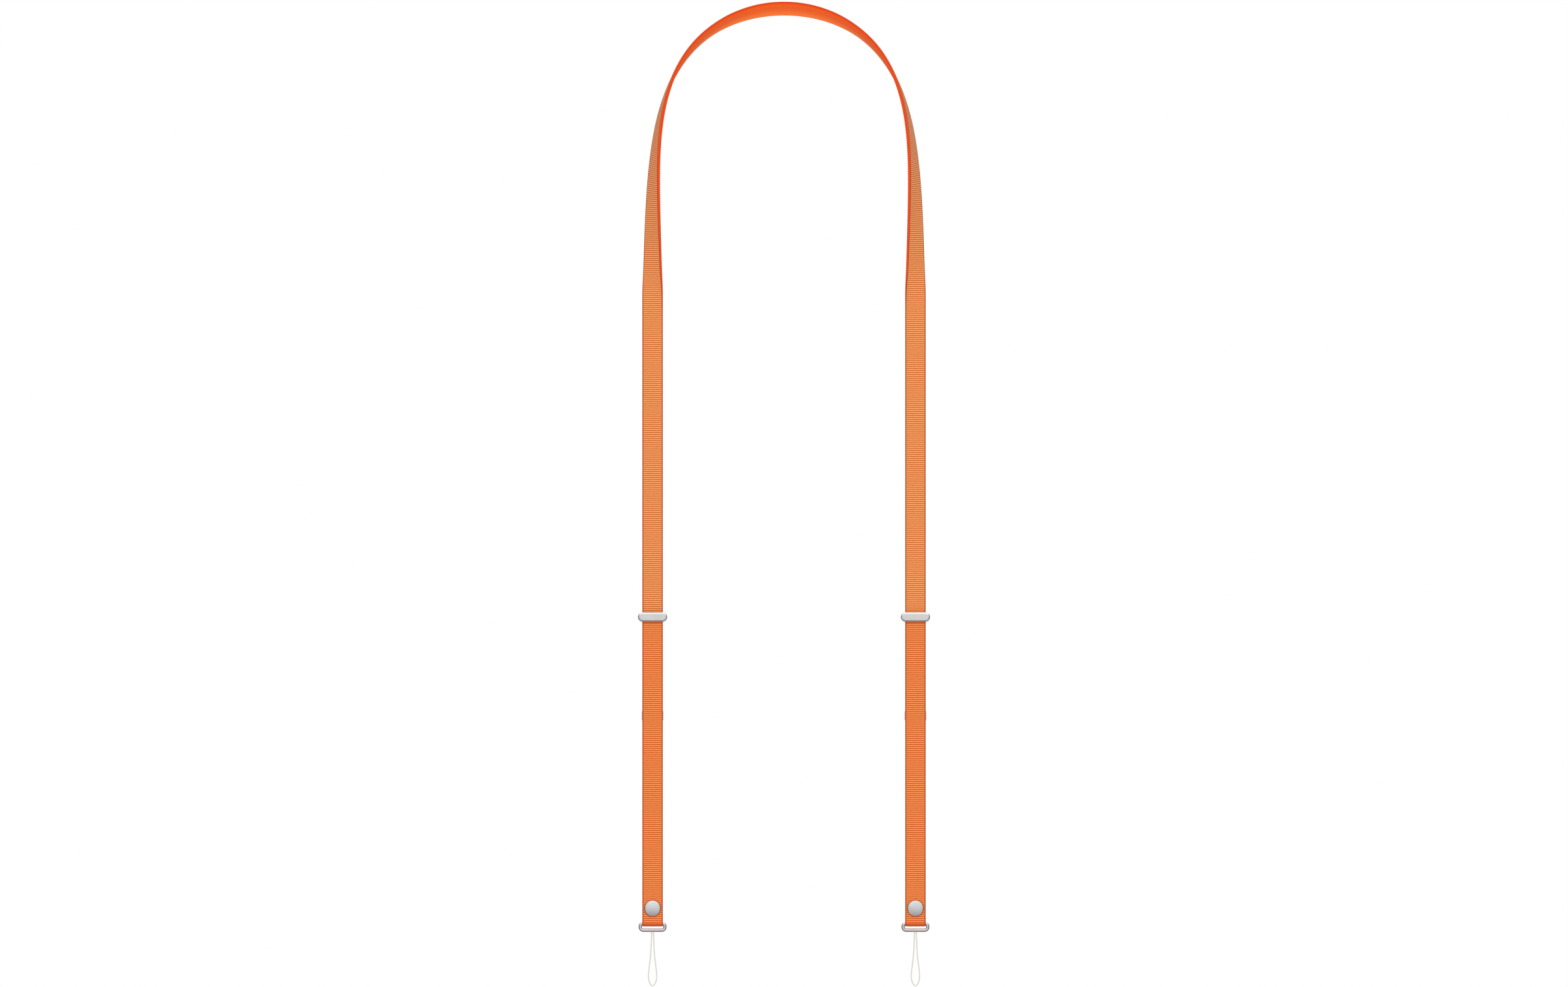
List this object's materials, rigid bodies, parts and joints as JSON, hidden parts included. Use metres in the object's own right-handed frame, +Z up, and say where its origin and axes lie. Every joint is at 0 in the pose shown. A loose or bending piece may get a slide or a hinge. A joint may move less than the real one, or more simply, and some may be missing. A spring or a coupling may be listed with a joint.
{
  "type": "webbing lanyard",
  "caption": "Slim adjustable neck lanyard of ribbed webbing with slide adjusters, snap-closed ends, oblong rings and thin cord loops.",
  "frame": {"origin": "middle of the neck strap's inner face at the top of the arch, where it rests on the neck", "axes": "+Z up, +X to the viewer's right, -Y towards the viewer, who sees the legs' outer faces"},
  "size_m": [0.1704, 0.0545, 0.5747],
  "materials": {
    "webbing_neck": "ribbed woven polyester, matte",
    "webbing_backing": "smooth fine twill, matte",
    "webbing_tail": "ribbed woven polyester, matte",
    "steel_satin": "satin, bead blasted",
    "steel_inner": "satin",
    "spring_steel": "bright drawn",
    "steel_ring": "polished satin",
    "cord_white": "fine braided cord, off-white"
  },
  "bodies": {
    "neck": {"neck_strap_outer": "webbing_neck", "neck_strap_inner": "webbing_backing", "left_strap_tip": "steel_inner", "right_strap_tip": "steel_inner"},
    "left_tail": {"left_tail_strap": "webbing_tail", "left_slider_plate": "steel_satin", "left_slider_clamp": "steel_inner", "left_slider_frame": "steel_satin", "left_slider_spring": "spring_steel", "left_slider_rivets": "steel_inner", "left_snap_cap": "steel_satin", "left_snap_socket": "steel_inner", "left_snap_spring": "spring_steel"},
    "left_flap": {"left_end_flap": "webbing_tail", "left_snap_stud": "steel_inner", "left_snap_post": "steel_satin"},
    "left_ring": {"left_ring": "steel_ring", "left_cord_ferrules": "steel_inner", "left_cord_ends": "cord_white"},
    "left_cord": {"left_cord_loop": "cord_white"},
    "right_tail": {"right_tail_strap": "webbing_tail", "right_slider_plate": "steel_satin", "right_slider_clamp": "steel_inner", "right_slider_frame": "steel_satin", "right_slider_spring": "spring_steel", "right_slider_rivets": "steel_inner", "right_snap_cap": "steel_satin", "right_snap_socket": "steel_inner", "right_snap_spring": "spring_steel"},
    "right_flap": {"right_end_flap": "webbing_tail", "right_snap_stud": "steel_inner", "right_snap_post": "steel_satin"},
    "right_ring": {"right_ring": "steel_ring", "right_cord_ferrules": "steel_inner", "right_cord_ends": "cord_white"},
    "right_cord": {"right_cord_loop": "cord_white"}
  },
  "joints": [
    {"name": "left_tail_slide", "type": "slide", "parent": "neck", "child": "left_tail", "axis": [0, 0, 1], "range_m": [-0.05, 0.095]},
    {"name": "left_flap_hinge", "type": "hinge", "parent": "left_tail", "child": "left_flap", "pos_m": [-0.0767, -0.04292, -0.5321], "axis": [-1, 0, 0], "range_deg": [0, 95]},
    {"name": "left_ring_hinge", "type": "hinge", "parent": "left_tail", "child": "left_ring", "pos_m": [-0.0767, -0.04447, -0.53275], "axis": [-1, 0, 0], "range_deg": [-90, 90]},
    {"name": "left_cord_swing", "type": "hinge", "parent": "left_ring", "child": "left_cord", "pos_m": [-0.0767, -0.04447, -0.5377], "axis": [-1, 0, 0], "range_deg": [-60, 60]},
    {"name": "right_tail_slide", "type": "slide", "parent": "neck", "child": "right_tail", "axis": [0, 0, 1], "range_m": [-0.05, 0.095]},
    {"name": "right_flap_hinge", "type": "hinge", "parent": "right_tail", "child": "right_flap", "pos_m": [0.0767, -0.04292, -0.5321], "axis": [-1, 0, 0], "range_deg": [0, 95]},
    {"name": "right_ring_hinge", "type": "hinge", "parent": "right_tail", "child": "right_ring", "pos_m": [0.0767, -0.04447, -0.53275], "axis": [-1, 0, 0], "range_deg": [-90, 90]},
    {"name": "right_cord_swing", "type": "hinge", "parent": "right_ring", "child": "right_cord", "pos_m": [0.0767, -0.04447, -0.5377], "axis": [-1, 0, 0], "range_deg": [-60, 60]}
  ]
}
